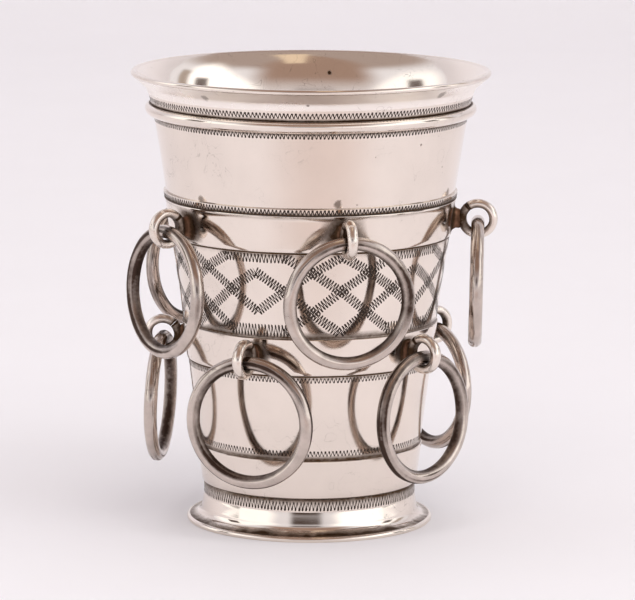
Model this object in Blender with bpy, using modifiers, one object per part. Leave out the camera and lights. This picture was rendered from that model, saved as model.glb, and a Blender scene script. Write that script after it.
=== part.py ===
"""A footed silver beaker with loose rings hanging in soldered eyes.

Units are metres, +Z is up. The foot stands on z = 0 and the cup is turned
round the Z axis. A bearing is an angle in degrees round that axis, counted
from -Y towards +X, so a bearing of 0 faces the viewer and 90 faces right.
"""

import math

import bpy
from mathutils import Matrix

# Fits between pieces
CLEARANCE = 0.0003          # gap kept where one piece rests on or is soldered to another

# Foot: a turned ring with a straight collar, a cove and a rounded edge
FOOT_RADIUS = 0.0258        # outer radius of the rounded edge
FOOT_HEIGHT = 0.0081        # from the table to the top of the collar
FOOT_COLLAR_HEIGHT = 0.0024
FOOT_EDGE_HEIGHT = 0.0011   # height of the rounded edge that stands on the table
FOOT_EDGE_WIDTH = 0.0008    # how far the edge stands out past the cove
FOOT_WALL = 0.0011

# Cup: heights of its zones, from the foot upwards
LOWER_STRAP_HEIGHT = 0.0082
LOWER_WALL_HEIGHT = 0.0182
MIDDLE_STRAP_HEIGHT = 0.0077
LATTICE_HEIGHT = 0.0183
UPPER_STRAP_HEIGHT = 0.0070
RIDGE_GAP = 0.0004
RIDGE_HEIGHT = 0.0018
UPPER_WALL_HEIGHT = 0.0155
WIRE_SEAT_HEIGHT = 0.0028
NECK_HEIGHT = 0.0021

# Cup: outer radius of the plain wall at the bottom of those zones
BASE_RADIUS = 0.0222        # also the radius of the foot's collar
MIDDLE_RADIUS = 0.0256
UPPER_RADIUS = 0.0292
SHOULDER_RADIUS = 0.0302
WIRE_SEAT_RADIUS = 0.0327
NECK_TOP_RADIUS = 0.0339

# Cup: wall, raised straps and lip
WALL = 0.0011
FLOOR = 0.0012
FLOOR_CORNER_RADIUS = 0.0024
STRAP_RAISE = 0.0003
RIDGE_RAISE = 0.0005
LIP_RADIUS = 0.0377         # outermost radius of the rounded edge
LIP_ARC_RADIUS = 0.0047
LIP_START_ANGLE = 14.0      # degrees out from vertical, where the neck ends
LIP_END_ANGLE = 60.0

# Half-round wire soldered round the neck
WIRE_HEIGHT = 0.0026
WIRE_DEPTH = 0.0015

# Eyes: bent from half-round wire, on a pad of solder
EYES_IN_ROW = 5
EYE_OUTER_RADIUS = 0.00415
EYE_HOLE_RADIUS = 0.0024
EYE_WIDTH = 0.0022
UPPER_EYE_STANDOFF = 0.0010  # from the strap to the nearest point of the eye
LOWER_EYE_STANDOFF = 0.0005
PAD_HEIGHT = 0.0040
PAD_WIDTH = 0.0019

# Loose rings
RING_OUTER_RADIUS = 0.01385
RING_WIRE_DIAMETER = 0.00285

# Where the eyes sit: the lower row is half a step round from the upper row
FIRST_BEARING = 9.0

# How each ring hangs, in degrees: the eye's own shift round the cup, the ring's
# turn about the vertical, the lean of its lower end towards the cup, and its
# swing sideways
UPPER_HANG = [
    (0.0, 2.0, 3.0, 1.0),
    (0.0, 3.0, 1.0, -4.5),
    (0.0, -2.0, 2.0, 2.0),
    (0.0, 3.0, 2.0, -2.0),
    (2.0, 1.0, -2.5, 0.0),
]
LOWER_HANG = [
    (0.0, -1.0, -2.0, -3.0),
    (0.0, 2.0, 1.0, 3.0),
    (0.0, -3.0, 1.0, -2.0),
    (-1.0, -2.0, -1.5, 5.5),
    (-2.5, 4.5, 1.0, 5.0),
]

# Facets round each turned or bent piece
CUP_SEGMENTS = 48
RING_SEGMENTS = 20
RING_SIDES = 7
EYE_SEGMENTS = 12
EYE_SIDES = 6

# Heights that follow from the zones
LOWER_STRAP_BOTTOM = FOOT_HEIGHT + CLEARANCE
LOWER_STRAP_TOP = LOWER_STRAP_BOTTOM + LOWER_STRAP_HEIGHT
MIDDLE_STRAP_BOTTOM = LOWER_STRAP_TOP + LOWER_WALL_HEIGHT
MIDDLE_STRAP_TOP = MIDDLE_STRAP_BOTTOM + MIDDLE_STRAP_HEIGHT
UPPER_STRAP_BOTTOM = MIDDLE_STRAP_TOP + LATTICE_HEIGHT
UPPER_STRAP_TOP = UPPER_STRAP_BOTTOM + UPPER_STRAP_HEIGHT
RIDGE_BOTTOM = UPPER_STRAP_TOP + RIDGE_GAP
RIDGE_TOP = RIDGE_BOTTOM + RIDGE_HEIGHT
WIRE_SEAT_BOTTOM = RIDGE_TOP + UPPER_WALL_HEIGHT
WIRE_SEAT_TOP = WIRE_SEAT_BOTTOM + WIRE_SEAT_HEIGHT
NECK_TOP = WIRE_SEAT_TOP + NECK_HEIGHT

# Plain wall as stations of height and outer radius, joined by straight runs
WALL_STATIONS = [
    (LOWER_STRAP_BOTTOM, BASE_RADIUS),
    (MIDDLE_STRAP_BOTTOM, MIDDLE_RADIUS),
    (UPPER_STRAP_BOTTOM, UPPER_RADIUS),
    (RIDGE_TOP, SHOULDER_RADIUS),
    (WIRE_SEAT_BOTTOM, WIRE_SEAT_RADIUS),
    (NECK_TOP, NECK_TOP_RADIUS),
]


def wall_radius(height):
    """Outer radius of the plain wall at a height, without straps or ridge."""
    for (low, low_radius), (high, high_radius) in zip(WALL_STATIONS, WALL_STATIONS[1:]):
        if height <= high:
            share = (height - low) / (high - low)
            return low_radius + share * (high_radius - low_radius)
    return WALL_STATIONS[-1][1]


def wall_slope(height):
    """Angle of the wall out from vertical at a height, in radians."""
    step = WALL
    return math.atan2(wall_radius(height + step) - wall_radius(height - step), 2.0 * step)


def make_material(name, colour, roughness):
    """A metal with the given base colour and roughness."""
    material = bpy.data.materials.new(name)
    material.use_nodes = True
    shader = material.node_tree.nodes["Principled BSDF"]
    shader.inputs["Base Color"].default_value = (*colour, 1.0)
    shader.inputs["Metallic"].default_value = 1.0
    shader.inputs["Roughness"].default_value = roughness
    material.diffuse_color = (*colour, 1.0)
    return material


def make_collection(name):
    """A new collection under the scene's own."""
    collection = bpy.data.collections.new(name)
    bpy.context.scene.collection.children.link(collection)
    return collection


def keep(piece, name, collection):
    """Name a new primitive and move it to its collection."""
    piece.name = name
    piece.data.name = name
    for current in list(piece.users_collection):
        current.objects.unlink(piece)
    collection.objects.link(piece)


def turned(name, profile, closed, collection, material):
    """A solid turned round Z from (radius, height) points.

    The points run down the outer side, and a closed profile joins its last
    point to its first.
    """
    mesh = bpy.data.meshes.new(name)
    points = [(radius, 0.0, height) for radius, height in profile]
    edges = [(index, index + 1) for index in range(len(points) - 1)]
    if closed:
        edges.append((len(points) - 1, 0))
    mesh.from_pydata(points, edges, [])
    mesh.materials.append(material)
    piece = bpy.data.objects.new(name, mesh)
    collection.objects.link(piece)
    screw = piece.modifiers.new("Turning", 'SCREW')
    screw.axis = 'Z'
    screw.angle = math.tau
    screw.steps = CUP_SEGMENTS
    screw.render_steps = CUP_SEGMENTS
    screw.use_merge_vertices = True
    screw.merge_threshold = 0.00001
    screw.use_smooth_shade = True


def arc(centre, radius, start, end, count):
    """Points on a circle from one angle to another, ends included.

    An angle of 0 points along +radius and 90 degrees points up.
    """
    points = []
    for index in range(count):
        angle = math.radians(start + (end - start) * index / (count - 1))
        across = centre[0] + radius * math.cos(angle)
        height = centre[1] + radius * math.sin(angle)
        points.append((across, height))
    return points


def step_out(height, raise_by):
    """The two corners where the wall steps out at a height, going down."""
    radius = wall_radius(height)
    return [(radius, height), (radius + raise_by, height)]


def step_in(height, raise_by):
    """The two corners where the wall steps back in at a height, going down."""
    return list(reversed(step_out(height, raise_by)))


def lip_profile():
    """The flared lip as three runs of points.

    They are the inner side from the neck up, the rounded edge, and the outer
    side down to the neck. A straight run joins each arc to the edge.
    """
    centre_angle = 180.0 - LIP_START_ANGLE
    end_angle = 180.0 - LIP_END_ANGLE
    start = math.radians(centre_angle)
    centre = (
        wall_radius(NECK_TOP) - LIP_ARC_RADIUS * math.cos(start),
        NECK_TOP - LIP_ARC_RADIUS * math.sin(start),
    )
    outer = arc(centre, LIP_ARC_RADIUS, end_angle, centre_angle, 4)
    inner = arc(centre, LIP_ARC_RADIUS + WALL, centre_angle, end_angle, 4)
    across = LIP_RADIUS - WALL / 2.0
    run = across - (outer[0][0] + inner[-1][0]) / 2.0
    rise = run / math.tan(math.radians(LIP_END_ANGLE))
    middle = (across, (outer[0][1] + inner[-1][1]) / 2.0 + rise)
    edge = arc(middle, WALL / 2.0, end_angle, end_angle - 180.0, 5)
    return inner, edge, outer


def cup_profile():
    """The cup's wall from the middle of its floor, up inside and down outside."""
    floor_top = LOWER_STRAP_BOTTOM + FLOOR
    corner_height = floor_top + FLOOR_CORNER_RADIUS
    corner_radius = wall_radius(corner_height) - WALL - FLOOR_CORNER_RADIUS
    corner = (corner_radius, corner_height)
    inside = [(0.0, floor_top)]
    inside += arc(corner, FLOOR_CORNER_RADIUS, -90.0, 0.0, 3)
    for height, radius in WALL_STATIONS[1:-1]:
        inside.append((radius - WALL, height))
    inner_lip, edge, outer_lip = lip_profile()
    outside = step_out(RIDGE_TOP, RIDGE_RAISE) + step_in(RIDGE_BOTTOM, RIDGE_RAISE)
    outside += step_out(UPPER_STRAP_TOP, STRAP_RAISE)
    outside += step_in(UPPER_STRAP_BOTTOM, STRAP_RAISE)
    outside += step_out(MIDDLE_STRAP_TOP, STRAP_RAISE)
    outside += step_in(MIDDLE_STRAP_BOTTOM, STRAP_RAISE)
    outside += step_out(LOWER_STRAP_TOP, STRAP_RAISE)
    outside.append((wall_radius(LOWER_STRAP_BOTTOM) + STRAP_RAISE, LOWER_STRAP_BOTTOM))
    outside.append((0.0, LOWER_STRAP_BOTTOM))
    above = [(WIRE_SEAT_RADIUS, WIRE_SEAT_BOTTOM)]
    return inside + inner_lip + edge + outer_lip + above + outside


def foot_profile():
    """The foot's closed section, down its outer side and up its inner side."""
    collar_bottom = FOOT_HEIGHT - FOOT_COLLAR_HEIGHT
    cove_radius = FOOT_RADIUS - FOOT_EDGE_WIDTH
    cove_drop = collar_bottom - FOOT_EDGE_HEIGHT
    points = [(BASE_RADIUS, FOOT_HEIGHT)]
    for angle in (0.0, 30.0, 60.0, 90.0):
        turn = math.radians(angle)
        radius = BASE_RADIUS + (cove_radius - BASE_RADIUS) * (1.0 - math.cos(turn))
        points.append((radius, collar_bottom - cove_drop * math.sin(turn)))
    half_edge = FOOT_EDGE_HEIGHT / 2.0
    points.append((FOOT_RADIUS - half_edge / 2.0, FOOT_EDGE_HEIGHT))
    points.append((FOOT_RADIUS, half_edge))
    points.append((FOOT_RADIUS - half_edge / 4.0, 0.0))
    points.append((cove_radius - FOOT_WALL / 2.0, 0.0))
    for angle in (90.0, 45.0, 0.0):
        turn = math.radians(angle)
        radius = BASE_RADIUS + (cove_radius - BASE_RADIUS) * (1.0 - math.cos(turn))
        height = collar_bottom - (cove_drop + FOOT_EDGE_HEIGHT / 2.0) * math.sin(turn)
        points.append((radius - FOOT_WALL, height))
    points.append((BASE_RADIUS - FOOT_WALL, FOOT_HEIGHT))
    return points


def wire_profile():
    """The neck wire's closed half-round section, its flat back to the wall."""
    middle = (WIRE_SEAT_BOTTOM + WIRE_SEAT_TOP) / 2.0
    back = wall_radius(middle) + CLEARANCE
    lean = math.tan(wall_slope(middle))
    points = []
    for index in range(6):
        angle = math.radians(90.0 - 180.0 * index / 5)
        rise = WIRE_HEIGHT / 2.0 * math.sin(angle)
        depth = (WIRE_DEPTH - CLEARANCE) * math.cos(angle)
        points.append((back + lean * rise + depth, middle + rise))
    return points


def make_eye(name, height, bearing, standoff, parts, cutters, material):
    """One eye with its pad of solder, set on a strap; returns its centre."""
    surface = wall_radius(height) + STRAP_RAISE
    reach = standoff + EYE_OUTER_RADIUS
    slope = wall_slope(height)
    tube_radius = (EYE_OUTER_RADIUS - EYE_HOLE_RADIUS) / 2.0
    ring_radius = (EYE_OUTER_RADIUS + EYE_HOLE_RADIUS) / 2.0
    bpy.ops.mesh.primitive_torus_add(
        major_segments=EYE_SEGMENTS,
        minor_segments=EYE_SIDES,
        major_radius=ring_radius,
        minor_radius=tube_radius,
    )
    eye = bpy.context.object
    keep(eye, name, parts)
    eye.data.transform(Matrix.Diagonal((1.0, 1.0, EYE_WIDTH / (2.0 * tube_radius), 1.0)))
    eye.data.transform(Matrix.Rotation(math.radians(90.0), 4, 'Y'))
    eye.data.materials.append(material)
    seat = Matrix.Rotation(math.radians(bearing), 4, 'Z')
    seat = seat @ Matrix.Translation((0.0, -surface, height))
    eye.matrix_world = seat @ Matrix.Translation((0.0, -reach, 0.0))

    pad_length = reach - ring_radius - CLEARANCE
    bpy.ops.mesh.primitive_cube_add(size=1.0)
    pad = bpy.context.object
    keep(pad, name + "_pad", cutters)
    pad.data.transform(Matrix.Diagonal((PAD_WIDTH, pad_length, PAD_HEIGHT, 1.0)))
    flush = seat @ Matrix.Rotation(slope, 4, 'X')
    pad.matrix_world = flush @ Matrix.Translation((0.0, -CLEARANCE - pad_length / 2.0, 0.0))
    pad.display_type = 'WIRE'
    pad.hide_render = True
    union = eye.modifiers.new("Solder pad", 'BOOLEAN')
    union.operation = 'UNION'
    union.solver = 'EXACT'
    union.object = pad
    return eye.matrix_world.translation


def make_ring(name, eye_centre, bearing, turn, lean, swing, parts, material):
    """One loose ring, hanging from the bottom of its eye's hole."""
    wire_radius = RING_WIRE_DIAMETER / 2.0
    ring_radius = RING_OUTER_RADIUS - wire_radius
    bpy.ops.mesh.primitive_torus_add(
        major_segments=RING_SEGMENTS,
        minor_segments=RING_SIDES,
        major_radius=ring_radius,
        minor_radius=wire_radius,
    )
    ring = bpy.context.object
    keep(ring, name, parts)
    ring.data.transform(Matrix.Rotation(math.radians(90.0), 4, 'X'))
    ring.data.materials.append(material)
    drop = EYE_HOLE_RADIUS - wire_radius - CLEARANCE
    hang = Matrix.Translation(eye_centre) @ Matrix.Translation((0.0, 0.0, -drop))
    hang = hang @ Matrix.Rotation(math.radians(bearing + turn), 4, 'Z')
    hang = hang @ Matrix.Rotation(math.radians(lean), 4, 'X')
    hang = hang @ Matrix.Rotation(math.radians(-swing), 4, 'Y')
    ring.matrix_world = hang @ Matrix.Translation((0.0, 0.0, -ring_radius))


def make_row(row, height, standoff, first, hangs, parts, cutters, materials):
    """A row of eyes round a strap, each with its ring."""
    for index in range(EYES_IN_ROW):
        shift, turn, lean, swing = hangs[index % len(hangs)]
        bearing = first + index * 360.0 / EYES_IN_ROW + shift
        eye_name = f"eye_{row}_{index + 1}"
        ring_name = f"ring_{row}_{index + 1}"
        centre = make_eye(eye_name, height, bearing, standoff, parts, cutters, materials[0])
        make_ring(ring_name, centre, bearing, turn, lean, swing, parts, materials[1])


def shade(piece):
    """Smooth shading that stays crisp at the sharp edges."""
    piece.data.shade_smooth()
    piece.data.set_sharp_from_angle(angle=math.radians(50.0))


def main():
    for old in list(bpy.data.objects):
        bpy.data.objects.remove(old)
    parts = make_collection("Silver ring beaker")
    cutters = make_collection("Solder pads")
    silver = make_material("Polished silver", (0.86, 0.80, 0.75), 0.15)
    worn_silver = make_material("Worn silver", (0.62, 0.57, 0.52), 0.30)

    turned("cup", cup_profile(), False, parts, silver)
    turned("foot", foot_profile(), True, parts, silver)
    turned("neck_wire", wire_profile(), True, parts, silver)

    half_step = 180.0 / EYES_IN_ROW
    materials = (silver, worn_silver)
    upper_height = (UPPER_STRAP_BOTTOM + UPPER_STRAP_TOP) / 2.0
    lower_height = (MIDDLE_STRAP_BOTTOM + MIDDLE_STRAP_TOP) / 2.0
    make_row("upper", upper_height, UPPER_EYE_STANDOFF, FIRST_BEARING,
             UPPER_HANG, parts, cutters, materials)
    make_row("lower", lower_height, LOWER_EYE_STANDOFF, FIRST_BEARING + half_step,
             LOWER_HANG, parts, cutters, materials)
    for piece in parts.objects:
        shade(piece)


if __name__ == "__main__":
    main()
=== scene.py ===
import math
import random

import bpy
import numpy as np
from bpy.props import FloatProperty, FloatVectorProperty, IntProperty, PointerProperty
from mathutils import Matrix, Vector, noise
from mathutils.geometry import delaunay_2d_cdt


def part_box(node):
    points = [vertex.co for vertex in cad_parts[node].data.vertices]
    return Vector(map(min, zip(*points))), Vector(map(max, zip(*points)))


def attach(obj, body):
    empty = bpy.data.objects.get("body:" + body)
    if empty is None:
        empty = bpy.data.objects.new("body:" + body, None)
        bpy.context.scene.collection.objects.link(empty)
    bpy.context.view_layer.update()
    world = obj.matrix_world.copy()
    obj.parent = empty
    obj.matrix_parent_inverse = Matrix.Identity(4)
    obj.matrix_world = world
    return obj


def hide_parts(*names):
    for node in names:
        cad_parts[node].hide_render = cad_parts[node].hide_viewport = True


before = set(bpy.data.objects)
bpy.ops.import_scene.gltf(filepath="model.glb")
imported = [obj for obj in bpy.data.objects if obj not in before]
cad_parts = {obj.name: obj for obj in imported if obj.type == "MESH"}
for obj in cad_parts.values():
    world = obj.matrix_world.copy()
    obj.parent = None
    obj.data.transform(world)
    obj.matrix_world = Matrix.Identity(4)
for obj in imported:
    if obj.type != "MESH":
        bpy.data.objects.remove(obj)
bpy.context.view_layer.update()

bl_info = {
    "name": "Silver ring beaker",
    "version": (1, 0, 0),
    "blender": (4, 5, 0),
    "location": "3D View > Sidebar > Beaker",
    "description": "A footed silver beaker with engraved bands and loose rings",
    "category": "Object",
}

# Lengths are metres, +Z is up, and the foot stands on z = 0. A bearing is an
# angle round the Z axis, counted from -Y towards +X.
MM = 0.001

# Heights of the cup's zones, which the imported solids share
FOOT_TOP = 8.1 * MM
LOWER_STRAP = (8.4 * MM, 16.6 * MM)
MIDDLE_STRAP = (34.8 * MM, 42.5 * MM)
UPPER_STRAP = (60.8 * MM, 67.8 * MM)
RIDGE = (68.2 * MM, 70.0 * MM)
WIRE_SEAT = (85.5 * MM, 88.3 * MM)
NECK_TOP = 90.4 * MM

# Outer radius of the plain wall at heights up the cup, measured in the photograph
WALL_STATIONS = [
    (8.0 * MM, 22.15 * MM),
    (16.8 * MM, 23.35 * MM),
    (34.8 * MM, 25.55 * MM),
    (42.5 * MM, 26.5 * MM),
    (52.0 * MM, 27.8 * MM),
    (60.8 * MM, 29.15 * MM),
    (69.9 * MM, 30.2 * MM),
    (76.0 * MM, 31.1 * MM),
    (85.5 * MM, 32.7 * MM),
    (90.4 * MM, 33.9 * MM),
    (94.0 * MM, 35.0 * MM),
]

# The flared lip: outside, an arc out from the neck and a straight run to the edge;
# inside, a flare that starts lower down and leans out more and more, in degrees
LIP_RADIUS = 37.5 * MM
LIP_ARC_RADIUS = 3.4 * MM
LIP_START_ANGLE = 14.0
LIP_END_ANGLE = 50.0
FLARE_START = 85.0 * MM
FLARE_LEANS = (9.5, 62.0)

# The lattice: nodes half a unit of bearing apart, in rows from the top down
LATTICE_STEP = 12.0
LATTICE_ROWS = (60.0 * MM, 56.6 * MM, 52.7 * MM, 48.1 * MM, 43.8 * MM)
LATTICE_BANDS = (
    ((-3, 3), (-2, 2), (-1, 1), (0, 0), (1, 1), (2, 2), (3, 3)),
    ((-3, 1), (-2, 2), (-1, 3), (0, 4), (1, 3), (2, 2), (3, 1)),
    ((-2, 0), (-1, 1), (0, 2), (1, 3), (2, 4)),
    ((2, 0), (1, 1), (0, 2), (-1, 3), (-2, 4)),
)
# Border bands that join the lattice's clusters: from and to as nodes, and heights
BORDER_NODES = (1.85, 4.15)
BORDER_BANDS = ((60.5 * MM, 58.5 * MM), (45.6 * MM, 42.95 * MM))
BORDER_PITCH_SHARE = 1.12
LATTICE_ZONE = (60.42 * MM, 42.92 * MM)
FIRST_BEARING = 9.0
EYES_IN_ROW = 5

# Half the outline of a graver's cut: shares of its length and of its half width
CUT_SIDE = ((0.06, 0.8), (0.2, 1.0), (0.4, 0.62), (0.66, 0.36))

# Toothed bands of the cup. In millimetres: the zone's top and bottom, the teeth's top
# and bottom, and the height at which they are counted. Then the shares of the usual
# pitch and width of a cut, how wide the cuts are that start at the top and at the
# bottom, the film on the zone's top, and the film's height, reach and strength.
BANDS = {
    # The neck and wire bands' film next to the wire is partly painted shade, where the wire shades
    # the wall
    "neck": ((90.1, 88.4), (89.95, 88.75), 89.2, (1.0, 1.2), (1.0, 0.8), 0.0, (88.1, 1.0, 1.0)),
    "wire": ((85.75, 84.1), (85.75, 84.5), 85.0, (1.0, 1.1), (0.8, 1.0), 1.0, (85.9, 1.0, 1.0)),
    "ridge": ((69.9, 68.62), (69.87, 68.62), 69.0, (1.0, 1.2), (1.0, 1.0), 0.1, (68.6, 1.0, 1.0)),
    "wall": ((34.43, 32.9), (34.4, 33.25), 33.8, (0.95, 1.0), (0.7, 1.0), 0.3, (34.7, 1.0, 0.9)),
    "strap": ((19.2, 17.0), (18.8, 17.55), 18.2, (0.95, 1.0), (1.0, 0.7), 0.0, (17.1, 0.9, 0.8)),
}

# What a face of a turned mesh is made of
SILVER, INSIDE, LIP, CUT, SOLDER = range(5)


def linear(code):
    """The linear colour, with alpha, of an sRGB hex value."""
    values = []
    for place in (1, 3, 5):
        level = int(code[place:place + 2], 16) / 255.0
        low = level / 12.92
        high = ((level + 0.055) / 1.055) ** 2.4
        values.append(low if level <= 0.04045 else high)
    return (*values, 1.0)


def length(label, words, default):
    """A length that a user may set."""
    return FloatProperty(name=label, description=words, default=default, unit='LENGTH',
                         precision=5, min=0.0)


def colour(label, words, code):
    """A colour that a user may set."""
    return FloatVectorProperty(name=label, description=words, default=linear(code),
                               subtype='COLOR', size=4, min=0.0, max=1.0)


class BeakerSizes(bpy.types.PropertyGroup):
    """Sizes of the visible pieces."""

    segments: IntProperty(name="Segments", description="Facets round the cup", default=240,
                          min=48)
    wall: length("Wall", "Thickness of the cup's wall", 1.1 * MM)
    floor: length("Floor", "Thickness of the cup's floor", 1.2 * MM)
    corner: length("Floor corner", "Radius inside, where wall meets floor", 2.4 * MM)
    strap_raise: length("Strap", "How far the plain straps stand out", 0.3 * MM)
    ridge_raise: length("Ridge", "How far the toothed ridge stands out", 0.5 * MM)
    planish: length("Planishing", "Height of the hammer's soft waves", 0.035 * MM)
    cut_depth: length("Cut depth", "Depth of the graver's cuts", 0.12 * MM)
    cut_width: length("Cut width", "Width of a cut at its wide end", 0.38 * MM)
    tooth_pitch: length("Tooth pitch", "Step of the teeth round the bands", 0.82 * MM)
    lattice_pitch: length("Lattice pitch", "Step of the teeth along the lattice", 0.66 * MM)
    lattice_width: length("Lattice width", "Width of a lattice band", 2.3 * MM)
    foot_radius: length("Foot", "Outer radius of the foot's edge", 25.8 * MM)
    foot_wall: length("Foot wall", "Thickness of the foot", 1.1 * MM)
    wire_height: length("Neck wire height", "Height of the half-round wire", 2.6 * MM)
    wire_depth: length("Neck wire depth", "How far the wire stands out", 1.5 * MM)
    eye_outer: length("Eye", "Outer radius of an eye", 4.15 * MM)
    eye_hole: length("Eye hole", "Radius of the hole of an eye", 2.4 * MM)
    eye_width: length("Eye width", "Width of the eye's half-round wire", 2.2 * MM)
    eye_seam: length("Eye seam", "Gap where the ends of an eye meet", 0.14 * MM)
    ring_outer: length("Ring", "Outer radius of a loose ring", 13.85 * MM)
    ring_wire: length("Ring wire", "Diameter of the ring's wire", 2.85 * MM)


class BeakerColours(bpy.types.PropertyGroup):
    """Colours of the silver, its tarnish and the studio."""

    silver: colour("Silver", "Clean wall", "#F0E5DB")
    inside: colour("Inside", "Clean inner wall", "#F6ECE2")
    # A paler copy of the silver, painted light, for the outer arc under the lip
    lip_painted_light: colour("Lip", "Duller metal under the lip", "#FFF8F1")
    ring: colour("Ring silver", "Worn silver of the rings", "#D2C5BC")
    solder: colour("Solder", "Copper-tinted solder", "#A07660")
    # Dark of the film, also laid where points carry painted shade and reflections
    film_and_painted_light: colour("Tarnish", "Brown film in the creases", "#54402F")
    # Dark for the rings' film and for the painted reflections along their wire
    ring_film_and_painted_reflection: colour("Ring film", "Grey-brown film on the rings", "#4A3B34")
    cut: colour("Cuts", "Oxide in the graver's cuts", "#2E231B")
    paper: colour("Paper", "Studio paper", "#F1F1F6")
    room: colour("Room", "Room above the open tent", "#B0A099")


def settings():
    """The scene's sizes and colours."""
    return bpy.context.scene.beaker_sizes, bpy.context.scene.beaker_colours


def wall_radius(height):
    """Outer radius of the plain wall at a height, on a smooth line through the stations."""
    stations = WALL_STATIONS
    last = len(stations) - 2
    index = 0
    while index < last and height > stations[index + 1][0]:
        index += 1
    before = stations[max(index - 1, 0)]
    low, high = stations[index], stations[index + 1]
    after = stations[min(index + 2, last + 1)]
    run = high[0] - low[0]
    share = min(max((height - low[0]) / run, -0.2), 1.2)
    low_slope = (high[1] - before[1]) / (high[0] - before[0]) * run
    high_slope = (after[1] - low[1]) / (after[0] - low[0]) * run
    square, cube = share ** 2, share ** 3
    return ((2 * cube - 3 * square + 1) * low[1] + (cube - 2 * square + share) * low_slope
            + (3 * square - 2 * cube) * high[1] + (cube - square) * high_slope)


def on_axis(bearing, radius, height):
    """The point at a bearing in radians, a radius and a height."""
    return Vector((radius * math.sin(bearing), -radius * math.cos(bearing), height))


def arc(centre, radius, start, end, count):
    """Points on a circle, from one angle in degrees to another, as radius and height."""
    points = []
    for index in range(count):
        angle = math.radians(start + (end - start) * index / (count - 1))
        points.append((centre[0] + radius * math.cos(angle), centre[1] + radius * math.sin(angle)))
    return points


def flare(start, end, first_lean, last_lean, count):
    """Points between two, as radius and height, whose lean in degrees grows slowly at first."""
    steps = []
    for index in range(count):
        lean = first_lean + (last_lean - first_lean) * ((index + 0.5) / count) ** 2
        steps.append((math.sin(math.radians(lean)), math.cos(math.radians(lean))))
    outward = (end[0] - start[0]) / sum(step[0] for step in steps)
    upward = (end[1] - start[1]) / sum(step[1] for step in steps)
    points = [start]
    for step in steps:
        radius, height = points[-1]
        points.append((radius + outward * step[0], height + upward * step[1]))
    return points


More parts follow.
